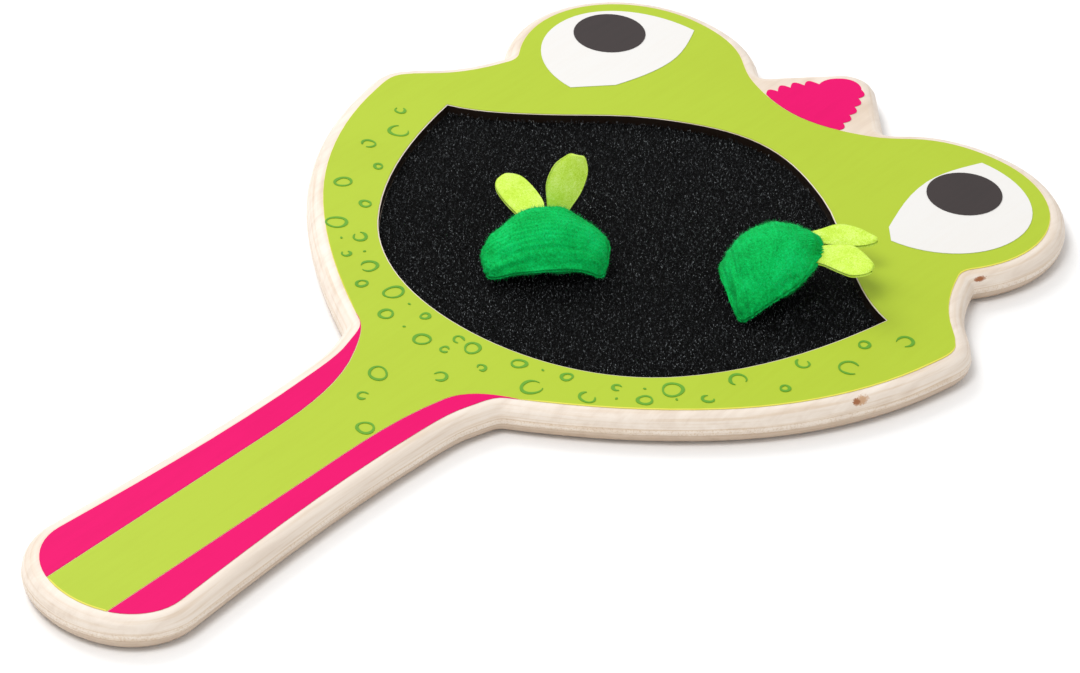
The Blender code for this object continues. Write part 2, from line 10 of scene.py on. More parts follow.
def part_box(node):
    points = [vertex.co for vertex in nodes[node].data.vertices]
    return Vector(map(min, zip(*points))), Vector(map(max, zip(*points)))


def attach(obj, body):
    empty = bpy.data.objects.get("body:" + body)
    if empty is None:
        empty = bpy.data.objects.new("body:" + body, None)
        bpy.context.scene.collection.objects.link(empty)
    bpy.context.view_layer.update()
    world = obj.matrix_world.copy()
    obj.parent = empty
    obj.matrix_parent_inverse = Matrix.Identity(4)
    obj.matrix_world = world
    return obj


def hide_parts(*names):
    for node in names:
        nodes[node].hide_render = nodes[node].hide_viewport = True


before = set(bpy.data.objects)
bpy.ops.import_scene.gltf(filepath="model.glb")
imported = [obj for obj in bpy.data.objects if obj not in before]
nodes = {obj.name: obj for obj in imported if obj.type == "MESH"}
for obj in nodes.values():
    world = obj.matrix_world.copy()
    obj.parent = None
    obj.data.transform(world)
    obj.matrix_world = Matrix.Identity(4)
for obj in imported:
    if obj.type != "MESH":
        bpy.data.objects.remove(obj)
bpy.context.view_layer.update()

MM = 0.001


# Paddle board. Clear-lacquered birch plywood sawn to a frog's head on a handle, its edge
# rounded with a router and sanded, and a shallow mouth routed into its face for the hook pad.
BOARD_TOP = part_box("paddle_board")[1].z
PLY_TOP = 3.0 * MM
PLY_CORE = 1.55 * MM
PLY_WAVER = 0.9 * MM
GLUE_LINE = 0.112 * MM
# The recess walls: above this height, and no further from upright than this sine
WALL_FOOT = 4.85 * MM
WALL_LEAN = 0.13
# Each knot: where it lies, how far it reaches along x, y and z, and its colour
KNOTS = (
    ((85.3 * MM, 33.6 * MM, 6.9 * MM), (2.2 * MM, 4.0 * MM, 1.5 * MM), "#c39c7a"),
    ((84.9 * MM, 32.3 * MM, 6.9 * MM), (1.4 * MM, 1.7 * MM, 1.4 * MM), "#9c6440"),
    ((77.0 * MM, 94.3 * MM, 6.95 * MM), (1.9 * MM, 3.2 * MM, 0.8 * MM), "#9a5f3a"),
)


def linear(code):
    """A hex colour as the linear colour that a shader takes."""
    parts = [int(code[i:i + 2], 16) / 255 for i in (1, 3, 5)]
    return (*[c / 12.92 if c <= 0.04045 else ((c + 0.055) / 1.055) ** 2.4 for c in parts], 1.0)


def node(tree, kind, settings=None, **links):
    """Adds a node, with its settings, and a value or another node's output for each input."""
    made = tree.nodes.new(kind)
    for key, value in (settings or {}).items():
        setattr(made, key, value)
    for key, value in links.items():
        socket = made.inputs[int(key[1:])] if key[0] == "_" else made.inputs[key.replace("_", " ")]
        if isinstance(value, bpy.types.NodeSocket):
            tree.links.new(value, socket)
        else:
            socket.default_value = value
    return made


def finish_named(name):
    """An empty material with its shader: returns the material, its tree and the shader."""
    material = bpy.data.materials.new(name)
    material.use_nodes = True
    return material, material.node_tree, material.node_tree.nodes["Principled BSDF"]


def ramp(tree, source, stops):
    """Colours along a value: stops are (place, colour) pairs."""
    made = node(tree, "ShaderNodeValToRGB", Fac=source)
    scale = made.color_ramp
    while len(scale.elements) < len(stops):
        scale.elements.new(0.5)
    for element, (place, colour) in zip(scale.elements, stops):
        element.position = place
        element.color = colour
    return made.outputs["Color"]


def grey(level):
    """A neutral grey, 0 black and 1 white."""
    return (level, level, level, 1.0)


def lacquered_birch():
    """Rotary-cut birch under clear lacquer: a pale face with long soft grain, faint ply lines
    and speckled end grain round the sanded edge, painted shade on the lowest ply, two brown knots, and
    near-black brown recess walls."""
    material, tree, shader = finish_named("lacquered_birch_plywood")
    place = node(tree, "ShaderNodeTexCoord").outputs["Object"]
    height = node(tree, "ShaderNodeSeparateXYZ", _0=place).outputs["Z"]
    facing = node(tree, "ShaderNodeNewGeometry").outputs["Normal"]
    # The grain runs along the handle: streaks about 2.4 mm wide and 40 mm long
    grain_place = node(tree, "ShaderNodeMapping", _0=place, Scale=(420.0, 26.0, 420.0))
    grain = node(tree, "ShaderNodeTexNoise", Vector=grain_place.outputs[0], Scale=1.0, Detail=6.0,
                 Roughness=0.6, Distortion=0.4)
    wood = ramp(tree, grain.outputs["Fac"], [
        (0.30, linear("#dccdbe")), (0.52, linear("#e5d8ca")), (0.75, linear("#ebe0d4"))])
    # Fibres that the router left, 0.5 mm apart and 30 mm long, show as lines along the edge
    fibre_place = node(tree, "ShaderNodeMapping", _0=place, Scale=(34.0, 34.0, 1900.0))
    fibres = node(tree, "ShaderNodeTexNoise", Vector=fibre_place.outputs[0], Scale=1.0, Detail=3.0)
    lines = ramp(tree, fibres.outputs["Fac"], [(0.34, linear("#f4ede4")), (0.52, grey(1.0))])
    # Birch pores are under 0.1 mm wide, and are drawn 0.4 mm apart to show at all
    pores = node(tree, "ShaderNodeTexNoise", Vector=place, Scale=2300.0, Detail=2.0)
    speckle = ramp(tree, pores.outputs["Fac"], [
        (0.32, linear("#f0e8dc")), (0.42, linear("#f8f4ee")), (0.48, grey(1.0))])
    waver = node(tree, "ShaderNodeTexNoise", Vector=place, Scale=45.0, Detail=2.0)
    wavy = node(tree, "ShaderNodeMath", {"operation": "MULTIPLY_ADD"},
                _0=waver.outputs["Fac"], _1=PLY_WAVER, _2=height).outputs[0]
    depth = node(tree, "ShaderNodeMath", {"operation": "SUBTRACT"},
                 _0=BOARD_TOP + PLY_WAVER / 2, _1=wavy).outputs[0]
    share = node(tree, "ShaderNodeMath", {"operation": "DIVIDE"}, _0=depth, _1=BOARD_TOP).outputs[0]
    top = PLY_TOP / BOARD_TOP
    foot = (PLY_TOP + PLY_CORE) / BOARD_TOP
    glue = GLUE_LINE / BOARD_TOP
    core = ramp(tree, share, [
        (top - 2 * glue, grey(0.0)), (top + glue, grey(1.0)),
        (foot - glue, grey(1.0)), (foot + 2 * glue, grey(0.0))])
    # Glue lines between the plies; below the lower one the colour darkens towards the bottom of the
    # edge, painted shade of the rounding that faces the table
    glue_lines_and_low_shade = ramp(tree, share, [
        (top - 2 * glue, grey(1.0)), (top, linear("#f0e7da")), (top + 2 * glue, grey(1.0)),
        (foot - 2 * glue, grey(0.96)), (foot, linear("#d9cdbf")), (foot + 2 * glue, linear("#e2d8cd")),
        (1.0, linear("#cdc1b4"))])
    for factor, layer in ((1.0, lines), (core, speckle), (1.0, glue_lines_and_low_shade)):
        wood = node(tree, "ShaderNodeMix", {"data_type": "RGBA", "blend_type": "MULTIPLY"},
                    _0=factor, _6=wood, _7=layer).outputs[2]
    for spot, size, colour in KNOTS:
        away = node(tree, "ShaderNodeVectorMath", {"operation": "SUBTRACT"}, _0=place, _1=spot)
        away = node(tree, "ShaderNodeVectorMath", {"operation": "DIVIDE"}, _0=away.outputs[0], _1=size)
        reach = node(tree, "ShaderNodeVectorMath", {"operation": "LENGTH"}, _0=away.outputs[0])
        ragged = node(tree, "ShaderNodeMath", {"operation": "MULTIPLY_ADD"},
                      _0=pores.outputs["Fac"], _1=0.7, _2=reach.outputs["Value"]).outputs[0]
        mask = ramp(tree, ragged, [(0.75, grey(1.0)), (1.0, grey(0.35)), (1.3, grey(0.0))])
        wood = node(tree, "ShaderNodeMix", {"data_type": "RGBA"},
                    _0=mask, _6=wood, _7=linear(colour)).outputs[2]
    # The recess walls, found by how upright they face and how high they stand, are coloured near-black
    # brown, darker than the wood round them
    tilt = node(tree, "ShaderNodeSeparateXYZ", _0=facing).outputs["Z"]
    tilt = node(tree, "ShaderNodeMath", {"operation": "ABSOLUTE"}, _0=tilt).outputs[0]
    upright = node(tree, "ShaderNodeMath", {"operation": "LESS_THAN"}, _0=tilt, _1=WALL_LEAN).outputs[0]
    above = node(tree, "ShaderNodeMath", {"operation": "GREATER_THAN"},
                 _0=height, _1=WALL_FOOT).outputs[0]
    wall = node(tree, "ShaderNodeMath", {"operation": "MULTIPLY"}, _0=upright, _1=above).outputs[0]
    wood = node(tree, "ShaderNodeMix", {"data_type": "RGBA"},
                _0=wall, _6=wood, _7=linear("#20150e")).outputs[2]
    tree.links.new(wood, shader.inputs["Base Color"])
    rough = ramp(tree, grain.outputs["Fac"], [(0.3, grey(0.38)), (0.7, grey(0.5))])
    tree.links.new(rough, shader.inputs["Roughness"])
    shader.inputs["Specular IOR Level"].default_value = 0.35
    shader.inputs["Coat Weight"].default_value = 0.12
    shader.inputs["Coat Roughness"].default_value = 0.3
    bump = node(tree, "ShaderNodeBump", Height=grain.outputs["Fac"], Strength=0.12, Distance=0.0001)
    tree.links.new(bump.outputs[0], shader.inputs["Normal"])
    return material


def smooth_over(thing, crease):
    """Shades an object as one sanded skin, sharp only where faces turn more than a crease."""
    group = bpy.data.node_groups.new(thing.name + "_skin", "GeometryNodeTree")
    group.interface.new_socket("Geometry", in_out="INPUT", socket_type="NodeSocketGeometry")
    group.interface.new_socket("Geometry", in_out="OUTPUT", socket_type="NodeSocketGeometry")
    start = node(group, "NodeGroupInput").outputs[0]
    bare = node(group, "GeometryNodeRemoveAttribute", Geometry=start, Name="custom_normal")
    joined = node(group, "GeometryNodeMergeByDistance", Geometry=bare.outputs[0], Distance=0.001 * MM)
    turn = node(group, "GeometryNodeInputMeshEdgeAngle").outputs["Unsigned Angle"]
    sharp = node(group, "FunctionNodeCompare", {"operation": "GREATER_THAN"}, _0=turn, _1=crease)
    split = node(group, "GeometryNodeSplitEdges", Mesh=joined.outputs[0], Selection=sharp.outputs[0])
    sanded = node(group, "GeometryNodeSetShadeSmooth", Geometry=split.outputs[0])
    sanded.inputs["Shade Smooth"].default_value = True
    node(group, "NodeGroupOutput", _0=sanded.outputs[0])
    thing.modifiers.new("skin", "NODES").node_group = group
    thing.modifiers.new("even_skin", "WEIGHTED_NORMAL")


birch = lacquered_birch()
board = nodes["paddle_board"]
board.material_slots[0].material = birch
smooth_over(board, math.radians(50))


# Hook pad. One sheet of black nylon hook tape, a woven base set thick with cut loops that
# stand up as hooks in all directions, stuck into the mouth.
PAD_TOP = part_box("hook_pad")[1].z
PAD_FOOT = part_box("hook_pad")[0].z
TAPE_TOP = PAD_TOP - 1.15 * MM
# Real hooks stand 0.3 mm apart and are thinner than this, too fine to show at this scale
HOOK_PITCH = 0.7 * MM
HOOK_SCATTER = 0.24 * MM
HOOK_THREAD = 0.13 * MM
HOOK_CLEARANCE = 0.22 * MM
HOOK_LEAN = 0.2


def black_tape():
    """Dyed black polyamide weave: dull, and dark between the hooks."""
    material, tree, shader = finish_named("black_woven_polyamide")
    place = node(tree, "ShaderNodeTexCoord").outputs["Object"]
    # Yarns of the weave, 0.7 mm apart
    weave = node(tree, "ShaderNodeTexNoise", Vector=place, Scale=1500.0, Detail=3.0)
    shade = ramp(tree, weave.outputs["Fac"], [(0.35, linear("#020202")), (0.7, linear("#060607"))])
    tree.links.new(shade, shader.inputs["Base Color"])
    shader.inputs["Roughness"].default_value = 0.85
    shader.inputs["Specular IOR Level"].default_value = 0.1
    bump = node(tree, "ShaderNodeBump", Height=weave.outputs["Fac"], Strength=0.5, Distance=0.0003)
    tree.links.new(bump.outputs[0], shader.inputs["Normal"])
    return material


def black_hooks():
    """Drawn black polyamide thread: most hooks are near black, and here and there a bit of
    thread is painted pale as a glint, painted light standing for a hook turned to the lamp."""
    material, tree, shader = finish_named("black_polyamide_thread")
    place = node(tree, "ShaderNodeTexCoord").outputs["Object"]
    # Each 0.3 mm of thread has a brightness of its own, the palest of them painted glints
    each = node(tree, "ShaderNodeTexVoronoi", Vector=place, Scale=3300.0).outputs["Color"]
    painted_glint_chance = node(tree, "ShaderNodeSeparateColor", _0=each).outputs[0]
    shade = ramp(tree, painted_glint_chance, [
        (0.0, linear("#020202")), (0.50, linear("#050506")), (0.70, linear("#1f2225")),
        (0.88, linear("#505457")), (1.0, linear("#9da2a5"))])
    tree.links.new(shade, shader.inputs["Base Color"])
    shader.inputs["Roughness"].default_value = 0.45
    shader.inputs["Specular IOR Level"].default_value = 0.2
    return material


def add_piece(name, points, faces, material, smooth=True):
    """A mesh object from points and faces, riding on the paddle."""
    mesh = bpy.data.meshes.new(name)
    mesh.from_pydata([tuple(p) for p in points], [], [tuple(int(i) for i in f) for f in faces])
    mesh.validate()
    mesh.materials.append(material)
    if smooth:
        mesh.shade_smooth()
    piece = bpy.data.objects.new(name, mesh)
    bpy.context.scene.collection.objects.link(piece)
    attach(piece, "root")
    return piece


def rims_of(name):
    """The closed outlines of a flat CAD piece's top face, each its points in order, longest first."""
    mesh = nodes[name].data
    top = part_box(name)[1].z
    keys = {}
    edges = {}
    for face in mesh.polygons:
        corners = [mesh.vertices[i].co for i in face.vertices]
        if all(abs(c.z - top) < 0.01 * MM for c in corners):
            marks = [(round(c.x, 6), round(c.y, 6)) for c in corners]
            for mark, corner in zip(marks, corners):
                keys[mark] = Vector(corner)
            for a, b in zip(marks, marks[1:] + marks[:1]):
                if edges.pop((b, a), None) is None:
                    edges[(a, b)] = True
    follow = dict(edges.keys())
    loops = []
    while follow:
        loop = [next(iter(follow))]
        while follow[loop[-1]] != loop[0]:
            loop.append(follow.pop(loop[-1]))
        del follow[loop[-1]]
        loops.append(np.array([keys[mark][:2] for mark in loop]))
    reach = [np.linalg.norm(loop - np.roll(loop, 1, axis=0), axis=1).sum() for loop in loops]
    return [loops[i] for i in np.argsort(reach)[::-1]]


def inside(outline, spots):
    """Which of the spots lie inside a closed outline."""
    result = np.zeros(len(spots), bool)
    for (ax, ay), (bx, by) in zip(outline, np.roll(outline, -1, axis=0)):
        crosses = (ay > spots[:, 1]) != (by > spots[:, 1])
        with np.errstate(divide="ignore", invalid="ignore"):
            reach = ax + (spots[:, 1] - ay) * (bx - ax) / (by - ay)
        result ^= crosses & (spots[:, 0] < reach)
    return result


pad_rim = rims_of("hook_pad")[0]
tape = add_piece(
    "hook_tape_base",
    [(x, y, PAD_FOOT) for x, y in pad_rim] + [(x, y, TAPE_TOP) for x, y in pad_rim],
    [range(len(pad_rim) - 1, -1, -1), range(len(pad_rim), 2 * len(pad_rim))]
    + [(i, (i + 1) % len(pad_rim), len(pad_rim) + (i + 1) % len(pad_rim), len(pad_rim) + i)
       for i in range(len(pad_rim))],
    black_tape(), smooth=False)

# Each hook leaves the tape upright, bends over and ends cut off above the tape: how far out and
# how far up it is at each bend
HOOK_PATH = np.array([(0.00, 0.00), (0.05, 0.78), (0.34, 0.96), (0.50, 0.60)])
HOOK_OUT = 0.9
HOOK_UP = 1.02


def hook_rows(name, spots, seed):
    """A field of bent hooks, one on each spot, each leaning and turned its own way."""
    rng = np.random.default_rng(seed)
    count = len(spots)
    turn = rng.uniform(0.0, math.tau, count)
    tall = rng.uniform(0.82, 1.0, count) * (PAD_TOP - TAPE_TOP)
    lean = rng.normal(0.0, HOOK_LEAN, (count, 2))
    spin = math.tau * np.arange(3) / 3
    ring = []
    for step, (along, up) in enumerate(HOOK_PATH):
        ahead = HOOK_PATH[min(step + 1, 3)] - HOOK_PATH[max(step - 1, 0)]
        slope = math.atan2(ahead[1], ahead[0])
        for angle in spin:
            side = HOOK_THREAD / 2 * math.cos(angle)
            out = HOOK_THREAD / 2 * math.sin(angle)
            ring.append((along, up, -out * math.sin(slope), side, out * math.cos(slope)))
    ring = np.array(ring)
    x = ring[:, 0][None] * tall[:, None] * HOOK_OUT + ring[:, 2][None]
    z = ring[:, 1][None] * tall[:, None] * HOOK_UP + ring[:, 4][None]
    y = np.broadcast_to(ring[:, 3][None], x.shape)
    z = np.minimum(z, PAD_TOP - TAPE_TOP)
    px = x * np.cos(turn)[:, None] - y * np.sin(turn)[:, None] + lean[:, :1] * z
    py = x * np.sin(turn)[:, None] + y * np.cos(turn)[:, None] + lean[:, 1:] * z
    points = np.stack([px + spots[:, :1], py + spots[:, 1:], z + TAPE_TOP], axis=2).reshape(-1, 3)
    faces = [(9, 10, 11)]
    for step in range(3):
        for k in range(3):
            a, b = 3 * step + k, 3 * step + (k + 1) % 3
            faces += [(a, b, b + 3), (a, b + 3, a + 3)]
    faces = (np.array(faces)[None] + 12 * np.arange(count)[:, None, None]).reshape(-1, 3)
    mesh = bpy.data.meshes.new(name)
    mesh.vertices.add(len(points))
    mesh.vertices.foreach_set("co", points.astype(np.float32).ravel())
    mesh.loops.add(faces.size)
    mesh.loops.foreach_set("vertex_index", faces.astype(np.int32).ravel())
    mesh.polygons.add(len(faces))
    mesh.polygons.foreach_set("loop_start", np.arange(0, faces.size, 3, dtype=np.int32))
    mesh.update(calc_edges=True)
    mesh.shade_smooth()
    mesh.materials.append(hook_thread)
    piece = bpy.data.objects.new(name, mesh)
    bpy.context.scene.collection.objects.link(piece)
    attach(piece, "root")


hook_thread = black_hooks()
low, high = pad_rim.min(axis=0), pad_rim.max(axis=0)
rows = np.arange(low[1] + HOOK_PITCH / 2, high[1], HOOK_PITCH)
columns = np.arange(low[0] + HOOK_PITCH / 2, high[0], HOOK_PITCH)
grid = np.array([(x + HOOK_PITCH / 2 * (i % 2), y) for i, y in enumerate(rows) for x in columns])
rng = np.random.default_rng(3)
grid = grid + rng.normal(0.0, HOOK_SCATTER, grid.shape)
heart = pad_rim.mean(axis=0)
clear_rim = heart + (pad_rim - heart) * (1 - HOOK_CLEARANCE / abs(pad_rim - heart).max())
grid = grid[inside(clear_rim, grid)]
lower, upper = np.quantile(grid[:, 1], (0.333, 0.667))
hook_rows("hooks_near_jaw", grid[grid[:, 1] < lower], 11)
hook_rows("hooks_in_middle", grid[(grid[:, 1] >= lower) & (grid[:, 1] < upper)], 12)
hook_rows("hooks_near_lip", grid[grid[:, 1] >= upper], 13)
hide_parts("hook_pad")


# Print. Inks screen-printed on the sanded face, one colour after another: a lime face, pink
# handle stripes and tuft, white eyes with dark pupils, each a thin satin film.
def screen_ink(name, colour, deeper, gloss=0.14):
    """UV-cured screen ink: flat and even, a little mottled where it soaked into the grain."""
    material, tree, shader = finish_named(name)
    place = node(tree, "ShaderNodeTexCoord").outputs["Object"]
    # Streaks of the grain under the ink, 1.4 mm wide and 17 mm long
    along_grain = node(tree, "ShaderNodeMapping", _0=place, Scale=(700.0, 60.0, 700.0))
    soak = node(tree, "ShaderNodeTexNoise", Vector=along_grain.outputs[0], Scale=1.0, Detail=5.0)
    cloud = node(tree, "ShaderNodeTexNoise", Vector=place, Scale=35.0, Detail=2.0)
    both = node(tree, "ShaderNodeMath", {"operation": "MULTIPLY"},
                _0=soak.outputs["Fac"], _1=cloud.outputs["Fac"]).outputs[0]
    shade = ramp(tree, both, [(0.10, linear(deeper)), (0.30, linear(colour))])
    tree.links.new(shade, shader.inputs["Base Color"])
    shader.inputs["Roughness"].default_value = 0.42
    shader.inputs["Specular IOR Level"].default_value = gloss
    bump = node(tree, "ShaderNodeBump", Height=soak.outputs["Fac"], Strength=0.08, Distance=0.0001)
    tree.links.new(bump.outputs[0], shader.inputs["Normal"])
    return material


lime_ink = screen_ink("lime_screen_ink", "#acc234", "#aabf32")
yellow_ink = screen_ink("yellow_screen_ink", "#ded65a", "#d8ce50")
pink_ink = screen_ink("pink_screen_ink", "#de0f68", "#da0e65", gloss=0.04)
white_ink = screen_ink("white_screen_ink", "#e3e1de", "#e2dfdb")
grey_ink = screen_ink("dark_grey_screen_ink", "#3b3434", "#383232")
green_ink = screen_ink("green_screen_ink", "#64a02e", "#5b982a")
for name, ink in (
        ("lime_face_print", lime_ink), ("left_handle_stripe", pink_ink),
        ("right_handle_stripe", pink_ink), ("tuft_print", pink_ink),
        ("left_eye_white", white_ink), ("right_eye_white", white_ink),
        ("left_pupil", grey_ink), ("right_pupil", grey_ink)):
    nodes[name].material_slots[0].material = ink


# Print rim. The yellow layer under the lime was printed a little out of register, and shows as a
# fine line along the edges that face the handle's right, except under the pink.
RIM_WIDTH = 0.42 * MM
RIM_LEAST = 0.05 * MM
RIM_LIFT = 0.01 * MM
# Which way the yellow lies off the lime, and how soon the line reaches its full width there
RIM_SHIFT = (0.63, -0.78)
RIM_ONSET = 1.4
# An edge this near to a stripe has pink over it
BESIDE_PINK = 0.6 * MM


def distance_to(outline, spots):
    """How far each spot lies from a closed outline."""
    start = outline[None]
    side = np.roll(outline, -1, axis=0)[None] - start
    share = ((spots[:, None] - start) * side).sum(axis=2) / (side**2).sum(axis=2)
    near = start + np.clip(share, 0.0, 1.0)[:, :, None] * side
    return np.linalg.norm(spots[:, None] - near, axis=2).min(axis=1)


face_rim = rims_of("lime_face_print")[0]
ahead = np.roll(face_rim, -1, axis=0) - np.roll(face_rim, 1, axis=0)
inward = np.stack([-ahead[:, 1], ahead[:, 0]], axis=1) / np.linalg.norm(ahead, axis=1, keepdims=True)
if not inside(face_rim, face_rim[:1] + inward[:1] * RIM_WIDTH)[0]:
    inward = -inward
shown = np.clip(-(inward @ np.array(RIM_SHIFT)) * RIM_ONSET, 0.0, 1.0)[:, None]
for stripe in ("left_handle_stripe", "right_handle_stripe"):
    shown[distance_to(rims_of(stripe)[0], face_rim) < BESIDE_PINK] = 0.0
inset = face_rim + inward * (RIM_LEAST + (RIM_WIDTH - RIM_LEAST) * shown)
ink_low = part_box("lime_face_print")[0].z
ink_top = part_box("lime_face_print")[1].z + RIM_LIFT
proud = face_rim - inward * RIM_LIFT
count = len(face_rim)
loops = ((proud, ink_low), (proud, ink_top), (inset, ink_top))
points = [(x, y, z) for loop, z in loops for x, y in loop]
faces = []
for i in range(count):
    n = (i + 1) % count
    faces += [(i, n, count + n, count + i), (count + i, count + n, 2 * count + n, 2 * count + i)]
rim_line = add_piece("lime_print_rim", points, faces, yellow_ink, smooth=False)


# Skin rings. Small rings in a mid green ink over the lime, drawn by hand with a loaded brush,
# so that no line is even and some rings stay open.
RING_LINE = 0.34 * MM
RING_SPREAD = 1.14
DOT_RADIUS = 0.22 * MM
DOT_LINE = 0.2 * MM
# A dot is put between two rings only where they lie this far apart
DOT_ROOM = (8 * MM, 16 * MM)
RING_NODES = sorted(name for name in nodes if name.startswith("skin_ring"))


def drawn_rings():
    """Every ring as a brush line round its place, and a small dot beside some of them."""
    draw = random.Random(5)
    points = []
    faces = []

    def brush(middle, radius, line, start, sweep, squash, heading, phases, low, high):
        """One stroke round a place: its line swells and thins, and narrows at open ends."""
        base = len(points)
        closed = sweep >= math.tau
        steps = 36 if radius > MM else 14
        stations = steps if closed else steps + 1
        for step in range(stations):
            angle = start + sweep * step / steps
            wobble = (1 + 0.05 * math.sin(2 * angle + phases[0])
                      + 0.03 * math.sin(3 * angle + phases[1]))
            width = line * (1 + 0.25 * math.sin(angle + phases[2])
                            + 0.12 * math.sin(3 * angle + phases[3]))
            if not closed:
                width *= min(1.0, 0.35 + 4.0 * min(step, steps - step) / steps)
            for r in (max(radius * wobble - width, 0.04 * MM), radius * wobble + width):
                x = r * math.cos(angle)
                y = squash * r * math.sin(angle)
                spot = (middle.x + x * math.cos(heading) - y * math.sin(heading),
                        middle.y + x * math.sin(heading) + y * math.cos(heading))
                points.extend([(*spot, low), (*spot, high)])
        for step in range(steps):
            a = base + 4 * step
            b = base + 4 * ((step + 1) % stations)
            faces.extend([(a + 1, a + 3, b + 3, b + 1), (a, b, b + 2, a + 2),
                          (a, a + 1, b + 1, b), (a + 2, b + 2, b + 3, a + 3)])
        if not closed:
            a, b = base, base + 4 * steps
            faces.extend([(a, a + 2, a + 3, a + 1), (b, b + 1, b + 3, b + 2)])

    boxes = [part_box(name) for name in RING_NODES]
    for number, (low, high) in enumerate(boxes):
        middle = (low + high) / 2
        radius = RING_SPREAD * (high.x - low.x) / 2 - RING_LINE
        sweep = math.tau - draw.choice([0.0, 0.0, 0.0, 0.9, 1.5])
        phases = [draw.uniform(0.0, math.tau) for _ in range(4)]
        brush(middle, radius, RING_LINE, draw.uniform(0.0, math.tau), sweep, draw.uniform(0.86, 1.0),
              draw.uniform(0.0, math.pi), phases, low.z, high.z)
        if number + 2 < len(boxes) and draw.random() < 0.45:
            further = (boxes[number + 2][0] + boxes[number + 2][1]) / 2
            gap = (further - middle).length
            if DOT_ROOM[0] < gap < DOT_ROOM[1]:
                brush(middle.lerp(further, 0.5), DOT_RADIUS, DOT_LINE, 0.0, math.tau, 0.7,
                      draw.uniform(0.0, math.pi), phases, low.z, high.z)
    return points, faces


rings = add_piece("skin_rings", *drawn_rings(), green_ink, smooth=False)
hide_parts(*RING_NODES)


# Stuffed bugs. Each is two knitted green panels sewn face to face along a half-round arc,
# turned, stuffed with soft fibre and closed along a rolled hem.
BUG_WIDTH = 33.0 * MM
BUG_DEPTH = 22.5 * MM
BUG_APEX_HALF = 4.0 * MM
BUG_TOP = 9.2 * MM
BUG_BELLY = 4.4 * MM
BUG_PEAK = 0.42
BUG_RIM = 0.7 * MM
HEM_DROP = 3.6 * MM
HEM_ARCH = 6.8 * MM
HEM_BULGE = 2.4 * MM
RIB_PITCH = 1.3 * MM
RIB_HEIGHT = 0.07 * MM
LOOP_PITCH = 0.85 * MM
LOOP_HEIGHT = 0.10 * MM
LUMP_PITCH = 6 * MM
LUMP_HEIGHT = 0.16 * MM
HEM_ROLL = 0.25 * MM
HEM_CREASE = 0.30 * MM
SEAM_GROOVE = 0.40 * MM
STITCH_PITCH = 2.4 * MM
STITCH_PUCKER = 0.18 * MM
# The stuffing is worked out on a bag this many times larger, where cloth settles better
SEWING_SCALE = 30.0
# The bag is cut this much small, and the stuffing may push any point of it out this far
UNSTUFFED = 0.35 * MM
MOST_SWELL = 0.6 * MM
# The bags rest on the tips of the hooks, and no part of one reaches lower
HOOK_TIPS = PAD_TOP + 0.1 * MM


def brushed_knit(name, deep, middle, pale):
    """Brushed acrylic knit: fine fibres and soft patches of deeper and paler green under a matt nap."""
    material, tree, shader = finish_named(name)
    place = node(tree, "ShaderNodeTexCoord").outputs["Object"]
    # Acrylic fibres are 0.02 mm thick, and are drawn 0.4 mm apart to show at all
    fibre = node(tree, "ShaderNodeTexNoise", Vector=place, Scale=2400.0, Detail=4.0, Roughness=0.7)
    patch = node(tree, "ShaderNodeTexNoise", Vector=place, Scale=140.0, Detail=2.0)
    both = node(tree, "ShaderNodeMath", {"operation": "MULTIPLY_ADD"},
                _0=patch.outputs["Fac"], _1=0.5, _2=fibre.outputs["Fac"]).outputs[0]
    shade = ramp(tree, both, [(0.50, linear(deep)), (0.74, linear(middle)), (0.98, linear(pale))])
    tree.links.new(shade, shader.inputs["Base Color"])
    shader.inputs["Roughness"].default_value = 0.85
    shader.inputs["Specular IOR Level"].default_value = 0.1
    shader.inputs["Sheen Weight"].default_value = 0.02
    shader.inputs["Sheen Roughness"].default_value = 0.4
    shader.inputs["Sheen Tint"].default_value = linear("#9fe8b8")
    bump = node(tree, "ShaderNodeBump", Height=fibre.outputs["Fac"], Strength=0.5, Distance=0.0002)
    tree.links.new(bump.outputs[0], shader.inputs["Normal"])
    return material


def panel_point(across, t, up):
    """A point of the bag's cage: its straight hem on y = 0, its seam near z = 0."""
    taper = 1 - (2 * BUG_APEX_HALF / BUG_WIDTH) ** 2
    half = BUG_WIDTH / 2 * (1 - taper * t**2.3) ** 0.5
    slope = (t - BUG_PEAK) / (BUG_PEAK if t < BUG_PEAK else 1 - BUG_PEAK)
    swell = max((1 - abs(slope)**2.6) * (1 - abs(across)**2.6), 0.0) ** 0.5
    height = BUG_TOP if up > 0 else BUG_BELLY
    hem = max(1 - t / BUG_PEAK, 0.0) ** 2
    middle = 1 - across**2
    rise = up * (BUG_RIM + (height - BUG_RIM) * swell)
    return (across * half, BUG_DEPTH * t - HEM_BULGE * hem * middle,
            hem * (HEM_ARCH * middle - HEM_DROP) + rise)


def bag_cage():
    """The bag's cage: a cube's grid drawn out into a half-round pillow, each point marked with
    where it lies across the bag, up from its hem, and on which panel."""
    cube = bmesh.new()
    bmesh.ops.create_cube(cube, size=2.0)
    bmesh.ops.subdivide_edges(cube, edges=cube.edges, cuts=3, use_grid_fill=True)
    marks = [cube.verts.layers.float.new(key) for key in ("across", "along", "side")]
    for point in cube.verts:
        across, along, side = point.co
        t = (along + 1) / 2
        for mark, value in zip(marks, (across, t, side)):
            point[mark] = value
        point.co = panel_point(across, t, side)
    mesh = bpy.data.meshes.new("bag_cage")
    cube.to_mesh(mesh)
    cube.free()
    return mesh


